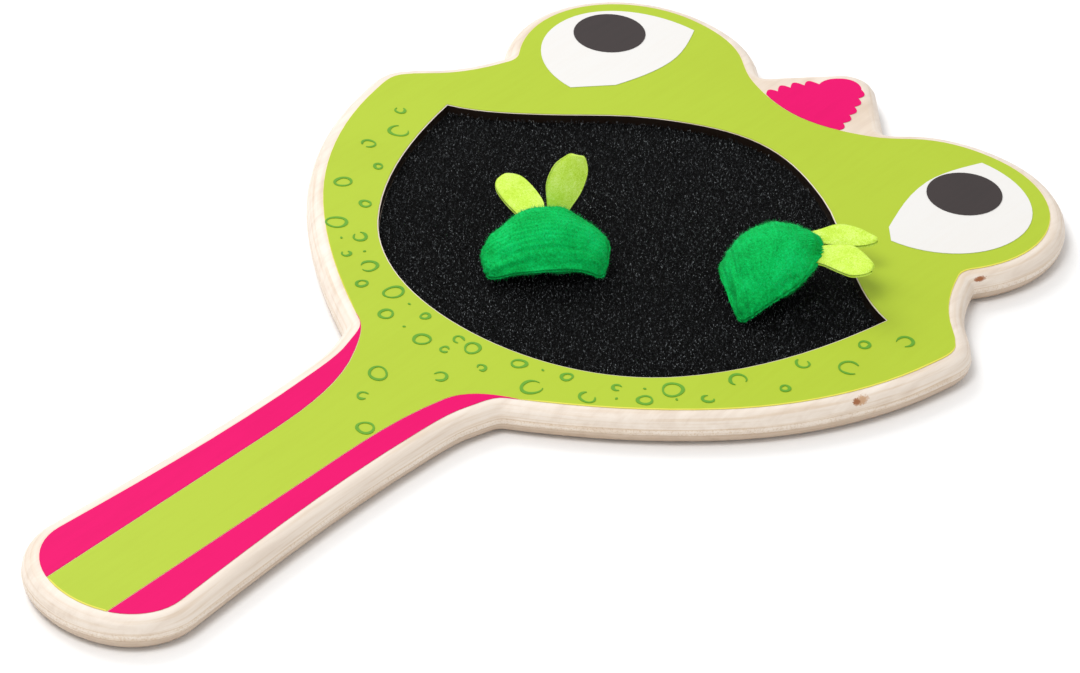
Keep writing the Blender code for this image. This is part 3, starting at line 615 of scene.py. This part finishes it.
def subdivided(mesh, levels):
    """A copy of a mesh rounded off by Catmull-Clark subdivision."""
    holder = bpy.data.objects.new("rounding", mesh)
    bpy.context.scene.collection.objects.link(holder)
    fine = holder.modifiers.new("fine", "SUBSURF")
    fine.levels = fine.render_levels = levels
    ready = holder.evaluated_get(bpy.context.evaluated_depsgraph_get())
    result = bpy.data.meshes.new_from_object(ready)
    bpy.data.objects.remove(holder)
    return result


def read_points(mesh, key="co"):
    """The mesh's points, or their normals, as an array."""
    values = np.empty(3 * len(mesh.vertices), np.float32)
    mesh.vertices.foreach_get(key, values)
    return values.reshape(-1, 3).astype(float)


def write_points(mesh, places):
    """Moves the mesh's points to new places."""
    mesh.vertices.foreach_set("co", np.asarray(places, np.float32).ravel())
    mesh.update()


def sewn_bag(name, seed, pushes):
    """The stuffed bag: blown up as cloth from its cage, pushed about by hand, then with its knit
    and stitches. A push is a place, how far round it reaches, and how far it goes, in mm."""
    mesh = subdivided(bag_cage(), 3)
    mesh.name = name
    start = (read_points(mesh) - read_points(mesh, "normal") * UNSTUFFED) * SEWING_SCALE
    write_points(mesh, start)
    bag = bpy.data.objects.new(name, mesh)
    bpy.context.scene.collection.objects.link(bag)
    cloth = bag.modifiers.new("stuffing", "CLOTH")
    cloth.settings.use_pressure = True
    cloth.settings.uniform_pressure_force = 4.0
    cloth.settings.effector_weights.gravity = 0.0
    cloth.settings.tension_stiffness = 12.0
    cloth.settings.compression_stiffness = 12.0
    cloth.settings.bending_stiffness = 0.5
    cloth.settings.quality = 5
    for moment in range(1, 21):
        bpy.context.scene.frame_set(moment)
    ready = bag.evaluated_get(bpy.context.evaluated_depsgraph_get())
    shift = read_points(ready.data) - start
    bag.modifiers.remove(cloth)
    bpy.context.scene.frame_set(1)
    reach = np.linalg.norm(shift, axis=1, keepdims=True)
    shift *= np.minimum(1.0, MOST_SWELL * SEWING_SCALE / np.maximum(reach, 1e-9))
    write_points(mesh, start + shift)
    fine = subdivided(mesh, 2)
    read = {}
    for key in ("across", "along", "side"):
        read[key] = np.empty(len(fine.vertices), np.float32)
        fine.attributes[key].data.foreach_get("value", read[key])
    co = read_points(fine) / SEWING_SCALE
    seen = co.copy()
    for spot, reach, shift in pushes:
        away = np.linalg.norm(co - np.array(spot) * MM, axis=1) / (reach * MM)
        seen += np.exp(-away**2)[:, None] * np.array(shift) * MM
    stand = relief(co, read["across"], read["along"], read["side"], seed)
    write_points(fine, seen + read_points(fine, "normal") * stand[:, None])
    bag.data = fine
    return bag


def hills(co, pitch, seed):
    """Smooth random ups and downs, about -1 to 1, a pitch apart."""
    rng = np.random.default_rng(seed)
    total = np.zeros(len(co))
    for _ in range(10):
        way = rng.normal(size=3)
        way /= np.linalg.norm(way)
        length = pitch * rng.uniform(0.7, 1.5)
        total += np.sin(co @ way * math.tau / length + rng.uniform(0, math.tau))
    return total / 3.2


def relief(co, across, along, side, seed):
    """How far the knit stands out of or into the bag's skin at each point."""
    from_hem = along * BUG_DEPTH
    to_arc = np.minimum((1 - abs(across)) * BUG_WIDTH / 2, (1 - along) * BUG_DEPTH)
    drift = 0.3 * MM * hills(co, 9 * MM, seed)
    phase = (co[:, 1] + drift) / RIB_PITCH * math.tau
    loops = co[:, 0] / LOOP_PITCH * math.tau + 2.2 * np.sin(phase)
    ribs = RIB_HEIGHT * np.sin(phase) + LOOP_HEIGHT * np.sin(loops) * (0.6 + 0.4 * np.cos(phase))
    lumps = LUMP_HEIGHT * hills(co, LUMP_PITCH, seed + 1)
    roll = HEM_ROLL * np.exp(-((from_hem - 1.4 * MM) / (0.9 * MM))**2)
    uneven = 0.7 + 0.3 * hills(co, 5 * MM, seed + 2)
    crease = -HEM_CREASE * np.exp(-((from_hem - 3.0 * MM) / (0.5 * MM))**2) * uneven
    # Between the panels the thread pulls the arc into a groove, with a pucker at each stitch
    at_seam = np.exp(-(side / 0.4)**2)
    around = np.arctan2(along - 0.35, across) * 22 * MM
    pucker = (STITCH_PUCKER * np.sin(around / STITCH_PITCH * math.tau)
              * np.exp(-(to_arc / (2.2 * MM))**2))
    return (ribs + lumps) * (1 - 0.6 * at_seam) + roll + crease - SEAM_GROOVE * at_seam + pucker


def seat_of(name, x, y, heading, tilt, roll):
    """How a bug sits on the pad: turned, tipped, and let down until its body touches the hooks."""
    turn = (Matrix.Rotation(math.radians(heading - 90), 4, "Z")
            @ Matrix.Rotation(math.radians(roll), 4, "Y") @ Matrix.Rotation(math.radians(tilt), 4, "X"))
    lowest = min((turn @ v.co).z for v in subdivided(bag_cage(), 1).vertices)
    return Matrix.Translation((x * MM, y * MM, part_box(name)[0].z - lowest)) @ turn


green_knit = brushed_knit("brushed_green_knit", "#008034", "#00b450", "#0bd070")
# What a hand did to each bag: the first one's hem pressed down and its sides filled out, the
# second one's top pulled out and its far shoulder flattened
FIRST_PUSHES = (
    ((16.5, 0.0, -3.0), 6.0, (-1.9, -1.4, -0.9)), ((14.5, 9.0, 1.0), 6.0, (1.6, 0.4, 0.4)),
    ((-16.5, 0.0, -3.0), 6.0, (0.9, -0.2, 0.0)), ((-14.0, 9.0, 1.0), 6.0, (-1.5, 0.3, 0.0)),
    ((0.0, -2.0, 3.0), 8.0, (0.0, 0.0, -1.2)))
SECOND_PUSHES = (
    ((0.0, 23.0, 0.0), 11.0, (0.0, 2.4, 0.0)), ((-13.0, 3.0, 3.0), 8.0, (1.6, 0.6, -1.6)),
    ((15.0, 0.0, -3.0), 8.0, (1.0, -1.8, 0.0)), ((0.0, -1.0, 2.0), 9.0, (0.0, -1.0, 0.0)),
    ((8.0, 12.0, 3.0), 7.0, (0.9, 0.6, 0.3)))
bugs = {}
# Each bug lies at x and y in mm, and is turned, tipped and rolled in degrees
for bug, place, seed, pushes in (
        ("first_bug", (-0.6, 19.55, 133.7, 4.0, -3.5), 21, FIRST_PUSHES),
        ("second_bug", (33.1, 49.95, 46.5, 21.0, 0.0), 34, SECOND_PUSHES)):
    bag = sewn_bag(bug + "_bag", seed, pushes)
    bag.data.materials.append(green_knit)
    bag.data.shade_smooth()
    seat = seat_of(bug + "_body", *place)
    bag.data.transform(seat)
    resting = read_points(bag.data)
    resting[:, 2] = np.maximum(resting[:, 2], HOOK_TIPS)
    write_points(bag.data, resting)
    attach(bag, "root")
    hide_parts(bug + "_body")
    bugs[bug] = (seat, bag)


# Bug fuzz. Loose ends of the brushed knit, drawn out of its yarn by brushing, that stand off
# each bag in all directions.
FIBRE_THIN = 0.035 * MM
FIBRE_ROOT = 0.1 * MM


def fuzz(name, bag, seed, count, longest, material):
    """Short bent fibres rooted in a soft piece's skin, thin closed spikes."""
    rng = np.random.default_rng(seed)
    mesh = bag.data
    mesh.calc_loop_triangles()
    corners = np.empty(3 * len(mesh.loop_triangles), np.int32)
    mesh.loop_triangles.foreach_get("vertices", corners)
    corners = corners.reshape(-1, 3)
    co = read_points(mesh)
    a, b, c = (co[corners[:, k]] for k in range(3))
    face_normal = np.cross(b - a, c - a)
    area = np.linalg.norm(face_normal, axis=1)
    pick = rng.choice(len(corners), count, p=area / area.sum())
    u = rng.uniform(size=(count, 1))
    v = rng.uniform(size=(count, 1))
    over = (u + v) > 1
    u, v = np.where(over, 1 - u, u), np.where(over, 1 - v, v)
    root = a[pick] + u * (b - a)[pick] + v * (c - a)[pick]
    out = face_normal[pick] / area[pick][:, None]
    lean = rng.normal(0.0, 0.8, (count, 3))
    way = out + lean * 0.7
    way /= np.linalg.norm(way, axis=1, keepdims=True)
    length = rng.uniform(0.4, 1.0, (count, 1)) * longest
    side = np.cross(way, rng.normal(size=(count, 3)))
    side /= np.linalg.norm(side, axis=1, keepdims=True)
    other = np.cross(way, side)
    root = root - out * FIBRE_ROOT
    points = []
    for share, wide in ((0.0, 1.0), (0.55, 0.7)):
        centre = root + way * length * share + side * length * 0.12 * (share > 0)
        for k in range(3):
            angle = math.tau * k / 3
            around = math.cos(angle) * side + math.sin(angle) * other
            points.append(centre + FIBRE_THIN * wide * around)
    points.append(root + way * length)
    points = np.stack(points, axis=1).reshape(-1, 3)
    faces = [(2, 1, 0)]
    for k in range(3):
        n = (k + 1) % 3
        faces += [(k, n, n + 3), (k, n + 3, k + 3), (k + 3, n + 3, 6)]
    faces = (np.array(faces)[None] + 7 * np.arange(count)[:, None, None]).reshape(-1, 3)
    add_piece(name, points, faces, material)


loose_fibre = brushed_knit("loose_green_fibre", "#069a46", "#1fb862", "#55c987")
for number, bug in enumerate(bugs):
    fuzz(bug + "_fuzz", bugs[bug][1], 50 + number, 5000, 1.2 * MM, loose_fibre)


# Wings. Two leaves of lime needle felt on each bug, cut freehand with scissors and caught in
# the seam at the top of the arc.
WING_SEWN = 3.2 * MM
WING_ROOT_RISE = 0.6 * MM
FELT_THICK = 1.1 * MM


def needle_felt():
    """Needle-punched polyester felt: a matt mat of short fibres in all directions."""
    material, tree, shader = finish_named("lime_needle_felt")
    place = node(tree, "ShaderNodeTexCoord").outputs["Object"]
    # Felt fibres are 0.02 mm thick, and are drawn 0.4 mm apart to show at all
    fibre = node(tree, "ShaderNodeTexNoise", Vector=place, Scale=2600.0, Detail=4.0, Distortion=1.5)
    patch = node(tree, "ShaderNodeTexNoise", Vector=place, Scale=260.0, Detail=2.0)
    both = node(tree, "ShaderNodeMath", {"operation": "MULTIPLY_ADD"},
                _0=patch.outputs["Fac"], _1=0.4, _2=fibre.outputs["Fac"]).outputs[0]
    shade = ramp(tree, both, [
        (0.46, linear("#b2d82c")), (0.72, linear("#cdec5a")), (0.95, linear("#e2f894"))])
    tree.links.new(shade, shader.inputs["Base Color"])
    shader.inputs["Roughness"].default_value = 0.95
    shader.inputs["Specular IOR Level"].default_value = 0.15
    bump = node(tree, "ShaderNodeBump", Height=fibre.outputs["Fac"], Strength=0.6, Distance=0.0002)
    tree.links.new(bump.outputs[0], shader.inputs["Normal"])
    return material


def smooth_between(values, t):
    """A value that runs smoothly through evenly placed ones, t from 0 to 1."""
    last = len(values) - 1
    index = min(int(t * last), last - 1)
    u = t * last - index
    before, here, there, after = (
        np.array(values[min(max(index + k, 0), last)]) for k in (-1, 0, 1, 2))
    return 0.5 * (2 * here + (there - before) * u
                  + (2 * before - 5 * here + 4 * there - after) * u * u
                  + (3 * here - before - 3 * there + after) * u**3)


def felt_wing(name, seat, across, spread, lift, lean, cut, curl, seed):
    """A leaf of felt. Its cut is (how far along, left edge, right edge) in mm, root to tip."""
    long, wide = 30, 14
    points = []
    for face in (1, -1):
        for row in range(long + 1):
            y, left, right = smooth_between(cut, row / long)
            for column in range(wide + 1):
                s = 2 * column / wide - 1
                x = left + (right - left) * (s + 1) / 2
                edge = abs(s) ** 8
                t = y / cut[-1][0]
                bend = curl * t * t + 0.25 * math.sin(3 * t + seed) * s - 0.5 * s * s * t
                uneven = 1 + 0.06 * math.sin(1.9 * x + 5 * t)
                thick = FELT_THICK / MM / 2 * (1 - 0.3 * edge) * uneven
                if row in (0, long):
                    thick *= 0.75
                points.append(Vector((x, y, bend + face * thick)) * MM)
    across_count = wide + 1
    back = (long + 1) * across_count
    faces = []
    for row in range(long):
        for column in range(wide):
            a = row * across_count + column
            quad = [a, a + 1, a + 1 + across_count, a + across_count]
            faces += [quad, [back + i for i in reversed(quad)]]
    for row in range(long):
        for a, flip in ((row * across_count, True), (row * across_count + wide, False)):
            quad = [a, a + across_count, back + a + across_count, back + a]
            faces.append(quad[::-1] if flip else quad)
    for column in range(wide):
        for a, flip in ((column, False), (long * across_count + column, True)):
            quad = [a, back + a, back + a + 1, a + 1]
            faces.append(quad[::-1] if flip else quad)
    pose = (seat @ Matrix.Translation((across * MM, BUG_DEPTH - WING_SEWN, WING_ROOT_RISE))
            @ Matrix.Rotation(math.radians(-spread), 4, "Z")
            @ Matrix.Rotation(math.radians(lift), 4, "X")
            @ Matrix.Rotation(math.radians(-lean), 4, "Z"))
    wing = add_piece(name + "_felt", [pose @ p for p in points], faces, lime_felt)
    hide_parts(name)
    return wing


def cut_area(cut):
    """The felt in one leaf, from the widths along its cut."""
    strips = ((b[0] - a[0]) * (a[2] - a[1] + b[2] - b[1]) / 2 for a, b in zip(cut, cut[1:]))
    return sum(strips) * MM**2


lime_felt = needle_felt()
# Each leaf: how far from the middle of the arc it is sewn in mm, how it is spread, lifted and
# leaned in degrees, its cut, and how far its tip curls in mm
for bug, side, pose, cut, curl, seed in (
        ("first_bug", "left", (-1.9, -18.0, 3.0, 0.0),
         ((0.0, -2.2, 2.2), (5.0, -3.2, 4.4), (10.0, -4.2, 4.6),
          (15.4, -4.5, 3.9), (18.2, -3.2, 2.8), (19.2, -1.2, 0.9)), 0.3, 1),
        ("first_bug", "right", (3.1, 0.0, 66.0, 18.0),
         ((0.0, -2.0, 2.0), (3.5, -3.0, 2.7), (8.6, -4.6, 4.4),
          (13.7, -3.9, 4.7), (16.8, -1.6, 3.5), (17.6, -0.6, 2.6)), 0.4, 2),
        ("second_bug", "left", (-4.0, 8.5, -17.0, 0.0),
         ((0.0, -2.4, 1.2), (4.0, -3.8, 1.3), (9.2, -6.1, 1.7),
          (14.0, -4.6, 2.2), (17.4, -1.8, 1.4), (18.6, -0.5, 0.5)), 0.2, 3),
        ("second_bug", "right", (3.2, 27.0, -10.0, 0.0),
         ((0.0, -2.6, 1.6), (4.5, -4.8, 1.8), (9.5, -5.8, 3.8),
          (13.0, -4.0, 4.9), (16.2, -1.2, 4.0), (17.5, 0.4, 2.7)), 0.2, 4)):
    wing = felt_wing(f"{bug}_{side}_wing", bugs[bug][0], *pose, cut, curl, seed)
    cut_area(cut)
    fuzz(f"{bug}_{side}_wing_fuzz", wing, 70 + seed, 900, 0.5 * MM, lime_felt)


# Table, light and camera. A plain white table under a large soft light from the left and a
# smaller one above the front, seen from above the handle's right.
TABLE_HALF = 3.0
TABLE_DROP = 0.2 * MM


def white_table():
    """White melamine laminate, pressed smooth: even, matt and very slightly clouded."""
    material, tree, shader = finish_named("white_laminate")
    place = node(tree, "ShaderNodeTexCoord").outputs["Object"]
    haze = node(tree, "ShaderNodeTexNoise", Vector=place, Scale=6.0, Detail=2.0)
    shade = ramp(tree, haze.outputs["Fac"], [(0.3, linear("#fbfbfb")), (0.7, linear("#ffffff"))])
    tree.links.new(shade, shader.inputs["Base Color"])
    shader.inputs["Roughness"].default_value = 0.7
    return material


table_mesh = bpy.data.meshes.new("table")
table_corners = ((-1, -1), (1, -1), (1, 1), (-1, 1))
table_mesh.from_pydata(
    [(x * TABLE_HALF, y * TABLE_HALF, -TABLE_DROP) for x, y in table_corners], [], [(0, 1, 2, 3)])
table_mesh.materials.append(white_table())
table = bpy.data.objects.new("table", table_mesh)
bpy.context.scene.collection.objects.link(table)

world = bpy.data.worlds.new("studio")
bpy.context.scene.world = world
world.use_nodes = True
world.node_tree.nodes["Background"].inputs["Color"].default_value = (1.0, 1.0, 1.0, 1.0)
world.node_tree.nodes["Background"].inputs["Strength"].default_value = 0.67


def soft_light(name, place, aim, size, power):
    """A square soft box at a place, turned towards its aim."""
    lamp = bpy.data.lights.new(name, "AREA")
    lamp.shape = "SQUARE"
    lamp.size = size
    lamp.energy = power
    holder = bpy.data.objects.new(name, lamp)
    holder.location = place
    holder.rotation_euler = (Vector(aim) - Vector(place)).to_track_quat("-Z", "Y").to_euler()
    bpy.context.scene.collection.objects.link(holder)


soft_light("window_light", (-1.05, 0.3, 1.05), (0.0, 0.0, 0.0), 0.9, 10.5)
soft_light("front_light", (0.05, -0.62, 1.25), (0.0, 0.0, 0.0), 0.5, 7.0)

camera = bpy.data.cameras.new("camera")
camera.sensor_width = 36.0
camera.sensor_fit = "HORIZONTAL"
camera.lens = 137.92
camera.clip_start = 0.05
eye = bpy.data.objects.new("camera", camera)
pitch = math.radians(35.825)
azimuth = math.radians(38.89)
roll = math.radians(2.2305)
target = Vector((0.01328, 0.00035, 0.008))
ahead = Vector((
    -math.sin(azimuth) * math.cos(pitch), math.cos(azimuth) * math.cos(pitch), -math.sin(pitch)))
level = Vector((math.cos(azimuth), math.sin(azimuth), 0.0))
upward = level.cross(ahead)
right = math.cos(roll) * level + math.sin(roll) * upward
top = -math.sin(roll) * level + math.cos(roll) * upward
place = target - ahead
eye.matrix_world = Matrix((
    (right.x, top.x, -ahead.x, place.x),
    (right.y, top.y, -ahead.y, place.y),
    (right.z, top.z, -ahead.z, place.z),
    (0, 0, 0, 1)))
bpy.context.scene.collection.objects.link(eye)
bpy.context.scene.camera = eye
bpy.context.scene.view_settings.view_transform = "Standard"
